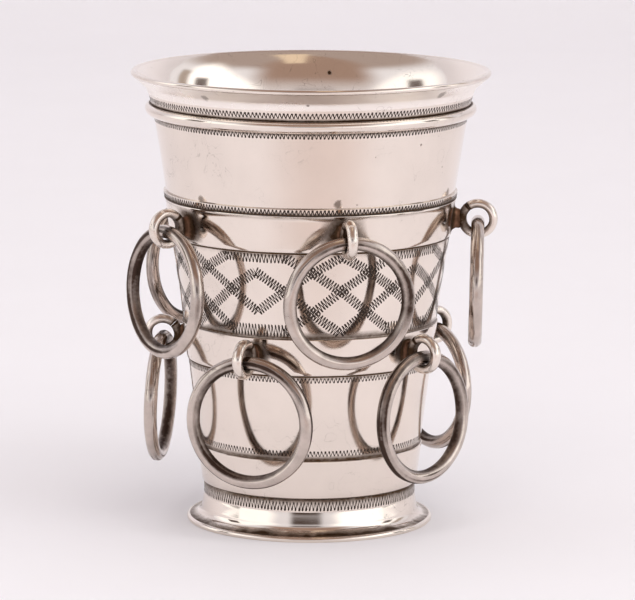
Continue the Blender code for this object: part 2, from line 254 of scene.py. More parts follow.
class Turning:
    """A mesh under construction: points, faces, and how much film each point holds, with the painted
    shade and reflections that some points carry.
    """

    def __init__(self, segments=0, waves=0.0):
        self.segments = segments
        self.waves = waves
        self.points = []
        self.film_and_painted_light = []
        self.faces = []
        self.looks = []
        self.last = None

    def surface(self, bearing, radius, height):
        """A point of the surface, with the soft waves that the hammer leaves."""
        point = on_axis(bearing, radius, height)
        swell = noise.noise(point / (11.0 * MM)) + 0.4 * noise.noise(point / (5.0 * MM))
        return on_axis(bearing, radius + self.waves * swell, height)

    def add(self, point, film_and_painted_light):
        """Add one point and give its number."""
        self.points.append(point)
        self.film_and_painted_light.append(film_and_painted_light)
        return len(self.points) - 1

    def ring(self, radius, height, film_and_painted_light=0.0):
        """A circle of points round the axis."""
        numbers = []
        for index in range(self.segments):
            bearing = math.pi + math.tau * index / self.segments
            held = film_and_painted_light(bearing) if callable(film_and_painted_light) else film_and_painted_light
            numbers.append(self.add(self.surface(bearing, radius, height), held))
        return numbers

    def bridge(self, upper, lower, look=SILVER):
        """Faces between two circles of points, the first above on an outer side."""
        count = len(upper)
        for index in range(count):
            after = (index + 1) % count
            self.faces.append((upper[index], lower[index], lower[after], upper[after]))
            self.looks.append(look)

    def cap(self, numbers, point, look=SILVER):
        """Faces from a circle of points to one point on the axis."""
        centre = self.add(point, 0.0)
        count = len(numbers)
        for index in range(count):
            self.faces.append((centre, numbers[index], numbers[(index + 1) % count]))
            self.looks.append(look)

    def lathe(self, rows, look=SILVER):
        """Circles for rows of radius, height and film, each joined to the one before."""
        for row in rows:
            numbers = self.ring(*row)
            if self.last is not None:
                self.bridge(self.last, numbers, look)
            self.last = numbers

    def engraved(self, top, bottom, radius_at, film_and_painted_light_at, cuts, depth):
        """A zone of the wall below the last circle, with the graver's cuts sunk in it.

        The zone is laid out flat in millimetres, bearing across and height up,
        with its seam at the back. The outline of each cut and the line down
        its middle are kept as edges of the mesh.
        """
        # In millimetres: how near to the zone's ends the cuts come, the grid in which
        # they are looked up, the step of the wall's rows, and how near points are one
        margin, cell, row_step, merge = 0.02, 0.5, 1.6, 0.0005
        # Where the line down a cut's middle starts, and how deep its other points lie
        ridge_start, side_depth = 0.22, 0.6
        spread = radius_at((top + bottom) / 2.0) / MM
        high, low = top / MM, bottom / MM
        around = math.tau * spread
        count = self.segments
        lower = self.ring(radius_at(bottom), bottom, lambda bearing: film_and_painted_light_at(bearing, bottom))

        def place(spot, sunk=0.0):
            """Add the point of the wall that a flat spot stands for."""
            bearing = math.pi + spot.x / spread
            height = spot.y * MM
            point = self.surface(bearing, radius_at(height), height)
            return self.add(point - on_axis(bearing, sunk, 0.0), film_and_painted_light_at(bearing, height))

        flat = []
        known = {}
        for numbers, height in ((self.last, high), (lower, low)):
            for index in range(count + 1):
                known[len(flat)] = numbers[index % count]
                flat.append(Vector((around * index / count, height)))
        edges = [(index, index + 1) for index in range(count)]
        edges += [(count + 1 + index, count + 2 + index) for index in range(count)]
        rows = max(1, round((high - low) / row_step))
        seam = [(0, count)]
        for row in range(rows - 1, 0, -1):
            height = low + (high - low) * row / rows
            number = place(Vector((0.0, height)))
            seam.append((len(flat), len(flat) + 1))
            for across in (0.0, around):
                known[len(flat)] = number
                flat.append(Vector((across, height)))
        seam.append((count + 1, 2 * count + 1))
        for above, below in zip(seam, seam[1:]):
            edges += [(above[0], below[0]), (above[1], below[1])]

        cells = {}
        middles = {}
        for start, end, width, share in cuts:
            along = end - start
            side = Vector((-along.y, along.x)).normalized() * width / 2.0
            shape = [start]
            shape += [start + along * reach + side * wide for reach, wide in CUT_SIDE]
            shape.append(end)
            shape += [start + along * reach - side * wide for reach, wide in reversed(CUT_SIDE)]
            shape.append(start + along * ridge_start)
            base = len(flat)
            corners = []
            for point in shape:
                across = min(max(point.x / MM, margin), around - margin)
                rise = min(max(point.y / MM, low + margin), high - margin)
                corners.append(Vector((across, rise)))
            flat += corners
            last = len(shape) - 1
            middles[base + last] = share * depth
            edges += [(base + index, base + (index + 1) % last) for index in range(last)]
            edges += [(base, base + last), (base + last, base + last // 2)]
            outline = corners[:last]
            left, right = min(c.x for c in outline), max(c.x for c in outline)
            floor, roof = min(c.y for c in outline), max(c.y for c in outline)
            for column in range(int(left / cell), int(right / cell) + 1):
                for row in range(int(floor / cell), int(roof / cell) + 1):
                    bounds = (left, right, floor, roof, outline)
                    cells.setdefault((column, row), []).append(bounds)
        for row in range(1, rows):
            height = low + (high - low) * row / rows
            for index in range(1, count):
                across = around * index / count
                if (int(across / cell), int(height / cell)) not in cells:
                    flat.append(Vector((across, height)))

        def cut_here(spot):
            """Whether a flat spot lies within the outline of a cut."""
            near = cells.get((int(spot.x / cell), int(spot.y / cell)), ())
            for left, right, floor, roof, outline in near:
                if not (left < spot.x < right and floor < spot.y < roof):
                    continue
                within = False
                for first, second in zip(outline, outline[1:] + outline[:1]):
                    if (first.y > spot.y) != (second.y > spot.y):
                        share = (spot.y - first.y) / (second.y - first.y)
                        if spot.x < first.x + share * (second.x - first.x):
                            within = not within
                if within:
                    return True
            return False

        spots, _, faces, from_spots, _, _ = delaunay_2d_cdt(flat, edges, [], 0, merge, True)
        in_cut = [cut_here((spots[a] + spots[b] + spots[c]) / 3.0) for a, b, c in faces]
        outside = set()
        for face, cut in zip(faces, in_cut):
            if not cut:
                outside.update(face)
        numbers = []
        for index, spot in enumerate(spots):
            sources = from_spots[index]
            fixed = next((known[source] for source in sources if source in known), None)
            if fixed is None:
                sunk = 0.0
                on_rim = spot.y > high - 2.0 * margin or spot.y < low + 2.0 * margin
                if index not in outside and not on_rim:
                    deep = [middles[source] for source in sources if source in middles]
                    sunk = max(deep) if deep else side_depth * depth
                fixed = place(spot, sunk)
            numbers.append(fixed)
        for face, cut in zip(faces, in_cut):
            corners = [numbers[index] for index in reversed(face)]
            if len(set(corners)) == 3:
                self.faces.append(tuple(corners))
                self.looks.append(CUT if cut else SILVER)
        self.last = lower

    def build(self, name, looks, materials, smooth=True, turn=None):
        """An object of the faces with these looks, one material for each look."""
        chosen = [index for index, look in enumerate(self.looks) if look in looks]
        used = sorted({number for index in chosen for number in self.faces[index]})
        place = {number: index for index, number in enumerate(used)}
        points = [self.points[number] for number in used]
        if turn is not None:
            points = [turn @ point for point in points]
        faces = [[place[number] for number in self.faces[index]] for index in chosen]
        mesh = bpy.data.meshes.new(name)
        mesh.from_pydata(points, [], faces)
        held = mesh.attributes.new("film_and_painted_light", 'FLOAT', 'POINT')
        held.data.foreach_set("value", [self.film_and_painted_light[number] for number in used])
        for material in materials:
            mesh.materials.append(material)
        slots = [looks.index(self.looks[index]) for index in chosen]
        mesh.polygons.foreach_set("material_index", slots)
        mesh.validate()
        if smooth:
            mesh.shade_smooth()
            mesh.set_sharp_from_angle(angle=math.radians(42.0))
        piece = bpy.data.objects.new(name, mesh)
        bpy.context.scene.collection.objects.link(piece)
        return piece


def place_piece(piece, slot, *nodes):
    """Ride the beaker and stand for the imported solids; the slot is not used."""
    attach(piece, "root")
    if nodes:
        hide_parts(*nodes)
    return piece


def wriggle(start, end, width, pitch, cut_width, draw, wide_sides=(1.0, 1.0)):
    """The cuts of a rocked graver from one flat point to another.

    Each cut is wide at one side of the band and runs out to a point at the
    other, and the next one starts there, so together they make a zigzag.
    """
    along = end - start
    count = max(2, 2 * round(along.length / pitch))
    step = along / count
    across = Vector((-along.y, along.x)).normalized() * width / 2.0
    cuts = []
    for index in range(count):
        side = 1.0 if index % 2 == 0 else -1.0
        share = wide_sides[index % 2]
        slip = draw.uniform(-0.12, 0.12)
        reach = side * draw.uniform(0.93, 1.05)
        wide_end = start + step * (index + slip) + across * reach
        tip = start + step * (index + 1 + slip) - across * side * draw.uniform(0.86, 1.0)
        wide = cut_width * share * draw.uniform(0.85, 1.15)
        cuts.append((wide_end, tip, wide, draw.uniform(0.8, 1.1)))
    return cuts


def round_band(top, bottom, radius, pitch, cut_width, draw, wide_sides=(1.0, 1.0)):
    """Cuts of a toothed band all the way round, laid out flat."""
    middle = (top + bottom) / 2.0
    start = Vector((0.0, middle))
    end = Vector((math.tau * radius, middle))
    return wriggle(start, end, top - bottom, pitch, cut_width, draw, wide_sides)


def lattice_cuts(radius, sizes, draw):
    """Cuts of the lattice, and of the border bands that join its clusters."""
    cuts = []
    unit = math.radians(LATTICE_STEP) * radius
    period = 360.0 / EYES_IN_ROW
    from_seam = (FIRST_BEARING + 180.0) % period
    for turn in range(-1, EYES_IN_ROW + 1):
        middle = math.radians(from_seam + turn * period) * radius
        for nodes in LATTICE_BANDS:
            for low, high in zip(nodes, nodes[1:]):
                start = Vector((middle + low[0] * unit, LATTICE_ROWS[low[1]]))
                end = Vector((middle + high[0] * unit, LATTICE_ROWS[high[1]]))
                cuts += wriggle(start, end, sizes.lattice_width * draw.uniform(0.9, 1.0),
                                sizes.lattice_pitch, sizes.cut_width, draw)
        left, right = (middle + node * unit for node in BORDER_NODES)
        for top, bottom in BORDER_BANDS:
            height = (top + bottom) / 2.0
            cuts += wriggle(Vector((left, height)), Vector((right, height)), top - bottom,
                            BORDER_PITCH_SHARE * sizes.lattice_pitch, sizes.cut_width, draw)
    edge = math.tau * radius
    return [cut for cut in cuts if max(cut[0].x, cut[1].x) > 0.0
            and min(cut[0].x, cut[1].x) < edge]


def edge_rows(height, stand_out, going_out, dark):
    """Rows where the wall steps out or in by a strap's thickness, going down."""
    soft = 0.1 * MM
    wall = wall_radius(height)
    if going_out:
        return [
            (wall, height + 4.0 * soft, 0.15 * dark),
            (wall, height + 1.5 * soft, 0.75 * dark),
            (wall + 0.2 * stand_out, height + 0.4 * soft, dark),
            (wall + stand_out - soft, height - 0.2 * soft, 0.25 * dark),
            (wall + stand_out, height - 1.4 * soft, 0.0),
        ]
    return [
        (wall + stand_out, height + 1.6 * soft, 0.0),
        (wall + stand_out - soft, height + 0.4 * soft, 0.45 * dark),
        (wall + 0.15 * stand_out, height - 0.2 * soft, dark),
        (wall, height - 2.2 * soft, dark),
        (wall, height - 3.6 * soft, 0.5 * dark),
    ]


def plain_rows(top, bottom, stand_out, step):
    """Rows down a plain stretch of wall, both ends left out."""
    count = max(1, round((top - bottom) / step))
    rows = []
    for index in range(1, count):
        height = top + (bottom - top) * index / count
        rows.append((wall_radius(height) + stand_out, height))
    return rows


def eye_seats():
    """Bearing, radius and height of each eye's centre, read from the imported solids."""
    sizes, _ = settings()
    seats = {}
    for name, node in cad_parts.items():
        if not name.startswith("eye_"):
            continue
        points = np.array([vertex.co for vertex in node.data.vertices])
        middle = points.mean(0)
        bearing = math.atan2(middle[0], -middle[1])
        reach = (points @ np.array((math.sin(bearing), -math.cos(bearing), 0.0))).max()
        low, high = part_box(name)
        seats[name] = (bearing, reach - sizes.eye_outer, (low.z + high.z) / 2.0)
    return seats


def firescale_and_painted_reflection(bearing, height, seats):
    """Dark close round the eyes: firescale left by the heat of soldering, and a painted reflection
    of the eye and its ring in the strap.
    """
    most = 0.0
    for eye, (eye_bearing, _, eye_height) in seats.items():
        turn = (bearing - eye_bearing + math.pi) % math.tau - math.pi
        across = turn * wall_radius(height) / MM
        rise = (height - eye_height) / MM
        reach = 4.8 if "upper" in eye else 3.4
        away = math.hypot(across, 0.8 * rise) / reach
        most = max(most, 1.35 - 1.1 * away)
    return min(max(most, 0.0), 1.0)


def on_wall(height, out=0.0, film=0.0):
    """A row of the cup's wall at a height in millimetres: radius, height and film."""
    return (wall_radius(height * MM) + out, height * MM, film)


def film_near(*places):
    """Film round some heights: each height and its reach in millimetres, and its strength."""
    def at(_, height):
        return max([0.0] + [most * (1.0 - abs(height - place * MM) / (reach * MM))
                            for place, reach, most in places])
    return at


def cup_turning():
    """The cup's surface: inside, lip, neck, walls, straps and ridge, with all its cuts."""
    sizes, _ = settings()
    cup = Turning(sizes.segments, sizes.planish)
    draw = random.Random(11)
    seats = eye_seats()
    wall, strap, ridge = sizes.wall, sizes.strap_raise, sizes.ridge_raise

    def toothed(name, out=0.0):
        """A zone of the wall with one of the toothed bands."""
        (top, bottom), (high, low), counted, (pitch, width), sides, first, film = BANDS[name]

        def radius_at(height):
            return wall_radius(height) + out

        cup.lathe([on_wall(top, out, first)])
        cuts = round_band(high * MM, low * MM, radius_at(counted * MM),
                          pitch * sizes.tooth_pitch, width * sizes.cut_width, draw, sides)
        cup.engraved(top * MM, bottom * MM, radius_at, film_near(film), cuts, sizes.cut_depth)

    def strap_rows(top, bottom):
        """Rows down a strap, darkened round the eyes with firescale and a painted reflection of the
        eyes and rings.
        """
        return [(radius, height, lambda bearing, height=height: firescale_and_painted_reflection(bearing, height, seats))
                for radius, height in plain_rows(top, bottom, strap, 0.75 * MM)]

    # Inside, from the floor up to the flare
    floor_top = LOWER_STRAP[0] + sizes.floor
    corner_height = floor_top + sizes.corner
    corner_radius = wall_radius(corner_height) - wall - sizes.corner
    inside = [(corner_radius * share, floor_top) for share in (0.12, 0.4, 0.7, 0.9)]
    inside += arc((corner_radius, corner_height), sizes.corner, -90.0, 0.0, 7)
    inside += plain_rows(corner_height, FLARE_START, -wall, 2.2 * MM)

    # The lip: its outer arc, its rounded edge and the flare inside it
    start_angle = 180.0 - LIP_START_ANGLE
    end_angle = 180.0 - LIP_END_ANGLE
    turn = math.radians(start_angle)
    centre = (wall_radius(NECK_TOP) - LIP_ARC_RADIUS * math.cos(turn),
              NECK_TOP - LIP_ARC_RADIUS * math.sin(turn))
    outer = arc(centre, LIP_ARC_RADIUS, end_angle, start_angle, 9)
    bend_end = arc(centre, LIP_ARC_RADIUS + wall / 2.0, end_angle, start_angle, 9)[0]
    across = LIP_RADIUS - wall / 2.0
    rise = (across - bend_end[0]) / math.tan(math.radians(LIP_END_ANGLE))
    edge = arc((across, bend_end[1] + rise), wall / 2.0, end_angle, end_angle - 180.0, 9)
    foot_of_flare = (wall_radius(FLARE_START) - wall, FLARE_START)
    inside += flare(foot_of_flare, edge[0], *FLARE_LEANS, 30)[:-1]
    cup.lathe(inside[:1])
    cup.cap(cup.last, Vector((0.0, 0.0, floor_top)), INSIDE)
    cup.lathe(inside[1:], INSIDE)
    under, under_height = edge[-1]
    cup.lathe(edge[:-1] + [
        (under, under_height, 0.2),
        (under - 0.08 * MM, under_height - 0.03 * MM, 0.8),
        (under - 0.2 * MM, under_height - 0.1 * MM, 0.0),
    ])
    cup.lathe(outer, LIP)

    # Neck band, seat of the neck wire, and the band that hangs below it
    toothed("neck")
    # The wall behind the wire is darkened: film, with painted shade where the wire meets the wall
    cup.lathe([on_wall(height, 0.0, 1.0) for height in (88.1, 86.9, 85.8)])
    toothed("wire")
    cup.lathe(plain_rows(84.1 * MM, 70.7 * MM, 0.0, 1.5 * MM))

    # Toothed ridge
    cup.lathe([
        on_wall(70.3),
        on_wall(70.04, 0.0, 0.3),
        (wall_radius(RIDGE[1]) + ridge - 0.08 * MM, 69.99 * MM, 0.3),
    ])
    toothed("ridge", ridge)
    cup.lathe([
        (wall_radius(68.55 * MM) + ridge - 0.16 * MM, 68.56 * MM, 1.0),
        on_wall(68.48, ridge, 0.3),
        on_wall(68.36, ridge + 0.04 * MM),
        on_wall(68.24, ridge - 0.03 * MM),
        (wall_radius(RIDGE[0]) + strap + 0.06 * MM, 68.14 * MM, 0.1),
        (wall_radius(68.0 * MM) + strap, 68.04 * MM, 0.35),
    ])

    # Upper strap and the lattice under it
    cup.lathe(strap_rows(68.0 * MM, 60.96 * MM))
    cup.lathe(edge_rows(UPPER_STRAP[0], strap, False, 1.0))
    top, bottom = LATTICE_ZONE
    cup.lathe([(wall_radius(top), top, 0.3)])
    cuts = lattice_cuts(wall_radius((top + bottom) / 2.0), sizes, draw)
    cup.engraved(top, bottom, wall_radius, film_near((60.8, 1.3, 1.0), (42.6, 1.5, 0.95)), cuts,
                 sizes.cut_depth)

    # Middle strap, and the lower wall with a band along each edge
    cup.lathe(edge_rows(MIDDLE_STRAP[1], strap, True, 0.8)[1:])
    cup.lathe(strap_rows(42.36 * MM, 34.96 * MM))
    cup.lathe(edge_rows(MIDDLE_STRAP[0], strap, False, 1.0))
    toothed("wall")
    cup.lathe(plain_rows(32.9 * MM, 19.2 * MM, 0.0, 1.5 * MM))
    toothed("strap")

    # Lower strap, down to the joint with the foot, and the cup's underside
    bottom = LOWER_STRAP[0]
    cup.lathe(edge_rows(LOWER_STRAP[1], strap, True, 0.9)[1:])
    cup.lathe(plain_rows(16.46 * MM, 8.7 * MM, strap, 1.3 * MM))
    cup.lathe([
        on_wall(8.7, strap, 0.1),
        (wall_radius(8.5 * MM) + 0.6 * strap, 8.48 * MM, 0.3),
        (wall_radius(bottom), bottom, 1.0),
        (wall_radius(bottom) - 1.6 * MM, bottom, 1.0),
    ])
    cup.lathe([(wall_radius(bottom) * share, bottom, 0.3) for share in (0.7, 0.4, 0.12)])
    cup.cap(cup.last[::-1], Vector((0.0, 0.0, bottom)))
    return cup


def foot_turning():
    """The foot's surface: collar with its band, cove, rounded edge and hollow underside."""
    sizes, _ = settings()
    foot = Turning(sizes.segments, sizes.planish * 0.6)
    draw = random.Random(23)
    collar = 22.2 * MM
    collar_bottom = 5.7 * MM
    cove_top = 3.0 * MM
    edge_height = 1.1 * MM
    edge = sizes.foot_radius
    cove = edge - 0.8 * MM

    def collar_film(_, height):
        """Film that thickens towards the joint with the cup."""
        return 0.14 + 0.6 * min(1.0, max(0.0, (height - 6.7 * MM) / (1.3 * MM))) ** 1.5

    def cove_film_and_painted_reflection(height):
        """Patchy dark low in the cove, most of it at the front: film in the crease, with a painted
        reflection of the darker room in front.
        """
        def at(bearing):
            spot = Vector((3.0 * math.sin(bearing), 3.0 * math.cos(bearing), 0.0))
            patchy = 1.0 + 0.9 * noise.noise(spot) + 0.5 * noise.noise(spot * 5.0)
            towards_front = 0.55 + 0.45 * math.cos(bearing + 0.3)
            reach = 0.9 * MM * max(0.2, patchy * towards_front)
            most = 0.2 + 0.6 * towards_front * patchy
            return max(0.0, most * (1.1 - (height - edge_height) / reach))
        return at

    # The collar
    foot.lathe([(collar - 0.6 * MM, FOOT_TOP + 0.2 * MM, 1.0)])
    first = foot.last
    foot.lathe([(collar - 0.12 * MM, FOOT_TOP + 0.2 * MM, 0.7), (collar, 8.0 * MM, 0.7)])
    band = round_band(7.9 * MM, 5.85 * MM, collar, sizes.tooth_pitch * 0.9, 1.1 * sizes.cut_width,
                      draw, (0.6, 1.0))
    foot.engraved(8.0 * MM, 5.6 * MM, lambda _: collar, collar_film, band, sizes.cut_depth)

    # The wall that leans out below it, then the cove
    rows = []
    for index in range(1, 8):
        down = (collar_bottom - cove_top) * index / 7
        lean = 0.14 * down + 0.008 * down ** 2 / MM
        rows.append((collar + lean, collar_bottom - down))
    cove_start = rows[-1][0]
    for index in range(1, 13):
        turn = math.radians(90.0 * index / 12)
        radius = cove_start + (cove - cove_start) * (1.0 - math.cos(turn))
        height = cove_top - (cove_top - edge_height) * math.sin(turn)
        rows.append((radius, height, cove_film_and_painted_reflection(height)))
    foot.lathe(rows)

    # The rounded edge and the hollow underside
    half = edge_height / 2.0
    foot.lathe([
        (cove + 0.08 * MM, edge_height - 0.06 * MM, cove_film_and_painted_reflection(edge_height)),
        (cove + 0.2 * MM, edge_height + 0.02 * MM, 0.3),
        (edge - 0.3 * MM, edge_height - 0.03 * MM, 0.0),
        (edge - 0.08 * MM, half + 0.28 * MM, 0.0),
        (edge, half, 0.0),
        (edge - 0.06 * MM, 0.2 * MM, 0.1),
        (edge - 0.25 * MM, 0.0, 0.3),
        (cove - sizes.foot_wall / 2.0, 0.0, 0.3),
    ])
    drop = collar_bottom - edge_height
    for index in range(9):
        turn = math.radians(90.0 - 90.0 * index / 8)
        radius = collar + (cove - collar) * (1.0 - math.cos(turn)) - sizes.foot_wall
        foot.lathe([(radius, collar_bottom - (drop + half) * math.sin(turn), 0.3)])
    foot.lathe([(collar - sizes.foot_wall, FOOT_TOP, 0.5)])
    foot.bridge(foot.last, first)
    return foot


def wire_turning():
    """The half-round wire round the neck."""
    sizes, _ = settings()
    wire = Turning(sizes.segments, sizes.planish * 1.6)
    middle = sum(WIRE_SEAT) / 2.0
    lean = (wall_radius(WIRE_SEAT[1]) - wall_radius(WIRE_SEAT[0])) / (WIRE_SEAT[1] - WIRE_SEAT[0])
    back = wall_radius(middle) + 0.02 * MM
    half = sizes.wire_height / 2.0
    rows = []
    for index in range(15):
        angle = math.radians(90.0 - 180.0 * index / 14)
        rise = half * math.sin(angle)
        out = sizes.wire_depth * math.cos(angle)
        shade = max(0.0, (abs(math.sin(angle)) - 0.9) / 0.1)
        rows.append((back + lean * rise + out, middle + rise, shade))
    rows.append((back - 0.2 * MM, middle - half, 1.0))
    rows.append((back - 0.2 * MM, middle + half, 1.0))
    wire.lathe(rows[:1])
    first = wire.last
    wire.lathe(rows[1:])
    wire.bridge(wire.last, first)
    return wire


def eye_mesh(name, seat, sizes, materials, draw):
    """One eye, bent from half-round wire until its ends nearly meet, on its solder."""
    bearing, radius, height = seat
    eye = Turning()
    half = sizes.eye_width / 2.0
    middle = (sizes.eye_outer + sizes.eye_hole) / 2.0
    section = []
    for index in range(16):
        angle = math.tau * index / 16
        across = half * math.sin(angle)
        out = sizes.eye_outer - middle
        if math.cos(angle) > 0.0:
            deep = out * math.cos(angle)
        else:
            deep = -out * min(1.0, 1.6 * abs(math.cos(angle)))
        section.append((deep, across))
    gap = sizes.eye_seam / middle
    seam = math.radians(draw.uniform(125.0, 140.0))
    count = 44
    circles = []
    for index in range(count + 1):
        angle = seam + gap / 2.0 + (math.tau - gap) * index / count
        worn = 1.0 + 0.03 * noise.noise(Vector((math.cos(angle), math.sin(angle), bearing)) * 1.5)
        numbers = []
        for place, (deep, across) in enumerate(section):
            reach = middle + deep * worn
            point = Vector((across * worn, -reach * math.cos(angle), reach * math.sin(angle)))
            inner = max(0.0, -deep / (sizes.eye_outer - middle))
            # The eye is darkened towards the cup: painted shade where it meets the wall
            painted_shade_near_cup = max(0.0, -math.cos(angle) - 0.35)
            at_seam = max(0.0, 1.0 - min(index, count - index) / 1.5)
            held = max(0.75 * inner, painted_shade_near_cup * 1.2, at_seam)
            numbers.append(eye.add(point, min(held, 1.0)))
        circles.append(numbers)
    for low, high in zip(circles, circles[1:]):
        eye.bridge(high, low)
    eye.faces += [tuple(circles[0]), tuple(reversed(circles[-1]))]
    eye.looks += [SILVER, SILVER]
    add_solder(eye, radius, height, sizes)
    turn = Matrix.Rotation(bearing, 4, 'Z') @ Matrix.Translation((0.0, -radius, height))
    return eye.build(name, [SILVER, SOLDER], materials, True, turn)


def add_solder(eye, radius, height, sizes):
    """The neck of solder, from inside the wall to inside the eye."""
    surface = wall_radius(height) + sizes.strap_raise
    gap_length = radius - sizes.eye_outer - surface
    slope = math.atan2(wall_radius(height + MM) - wall_radius(height - MM), 2.0 * MM)
    # How far out, half the height, half the width, and the film
    rows = [
        (-0.35 * MM, 2.9 * MM, 2.0 * MM, 1.0),
        (0.0, 2.65 * MM, 1.75 * MM, 1.0),
        (0.22 * MM, 2.35 * MM, 1.4 * MM, 0.75),
        (0.55 * gap_length + 0.1 * MM, 2.1 * MM, 1.12 * MM, 0.45),
        (gap_length + 0.25 * MM, 2.05 * MM, 1.05 * MM, 0.6),
        (gap_length + 0.8 * MM, 1.7 * MM, 0.9 * MM, 0.85),
    ]
    previous = None
    for out, tall, wide, held in rows:
        numbers = []
        for index in range(24):
            angle = math.tau * index / 24
            spot = Vector((math.cos(angle), math.sin(angle), out * 900))
            rough = 1.0 + 0.07 * noise.noise(spot)
            across = wide * rough * math.copysign(abs(math.cos(angle)) ** 0.8, math.cos(angle))
            rise = tall * rough * math.copysign(abs(math.sin(angle)) ** 0.8, math.sin(angle))
            lean = math.tan(slope) * rise * max(0.0, 1.0 - out / (gap_length + 0.3 * MM))
            point = Vector((across, radius - surface - out - lean, rise))
            numbers.append(eye.add(point, held))
        if previous is not None:
            eye.bridge(numbers, previous, SOLDER)
        previous = numbers


def ring_seat(node):
    """Centre and axis of a packed ring, from its own points."""
    points = np.array([vertex.co for vertex in node.data.vertices])
    middle = points.mean(0)
    _, _, axes = np.linalg.svd(points - middle, full_matrices=False)
    return Vector(middle), Vector(axes[2])


def ring_mesh(name, node, sizes, materials, draw):
    """One loose ring of round wire, a little uneven from the hammer, with its joint."""
    centre, axis = ring_seat(node)
    ring = Turning()
    wire = sizes.ring_wire / 2.0
    middle = sizes.ring_outer - wire
    joint = draw.uniform(0.0, math.tau)
    shift = draw.uniform(0.0, 60.0)
    count, sides = 120, 28
    circles = []
    for index in range(count):
        angle = math.tau * index / count
        place = Vector((math.cos(angle), math.sin(angle), shift))
        thick = wire * (0.966 + 0.03 * noise.noise(place * 2.1))
        bow = 0.08 * MM * noise.noise(place * 1.3 + Vector((0.0, 0.0, 7.0)))
        from_joint = abs((angle - joint + math.pi) % math.tau - math.pi) * middle
        dip = max(0.0, 1.0 - from_joint / (0.35 * MM))
        numbers = []
        for side in range(sides):
            round_angle = math.tau * side / sides
            flat = noise.noise(place * 2.7 + Vector((0.0, 0.0, 3.0 * math.cos(round_angle))))
            thickness = thick * (1.0 - 0.03 * dip) + 0.03 * MM * flat
            reach = middle + thickness * math.cos(round_angle)
            point = Vector((reach * math.cos(angle), reach * math.sin(angle),
                            thickness * math.sin(round_angle) + bow))
            inner = max(0.0, -math.cos(round_angle)) ** 1.5
            worn = 0.5 + 0.5 * noise.noise(place * 1.7 + Vector((5.0, 0.0, 0.0)))
            # Long dark streaks along the wire are painted reflections; the inner side and the joint
            # hold film
            lane = 1.7 * round_angle if side < sides / 2 else 1.7 * (math.tau - round_angle)
            painted_reflection_streak = noise.noise(place * 0.6 + Vector((0.0, 9.0, lane)))
            held = max(inner * (0.55 + 0.45 * worn), 0.25 * dip,
                       0.14 * worn + 1.7 * (painted_reflection_streak - 0.05))
            numbers.append(ring.add(point, min(held, 1.0)))
        circles.append(numbers)
    for index in range(count):
        ring.bridge(circles[(index + 1) % count], circles[index])
    turn = Matrix.Translation(centre) @ axis.to_track_quat('Z', 'Y').to_matrix().to_4x4()
    return ring.build(name, [SILVER], materials, True, turn)


def add_node(tree, kind, values=None, links=None, **choices):
    """Add a shader node: values fill sockets, links feed them, choices are its settings.

    A link given as a node comes from that node's first output.
    """
    node = tree.nodes.new('ShaderNode' + kind)
    for name, value in choices.items():
        setattr(node, name, value)
    for socket, value in (values or {}).items():
        node.inputs[socket].default_value = value
    for socket, source in (links or {}).items():
        if isinstance(source, bpy.types.Node):
            source = source.outputs[0]
        tree.links.new(source, node.inputs[socket])
    return node


def start_material(name, metallic):
    """A new material's tree, its shader, and the place of each point on the piece."""
    material = bpy.data.materials.new(name)
    material.use_nodes = True
    tree = material.node_tree
    shader = tree.nodes["Principled BSDF"]
    shader.inputs['Metallic'].default_value = metallic
    return tree, shader, add_node(tree, 'TexCoord').outputs['Object']


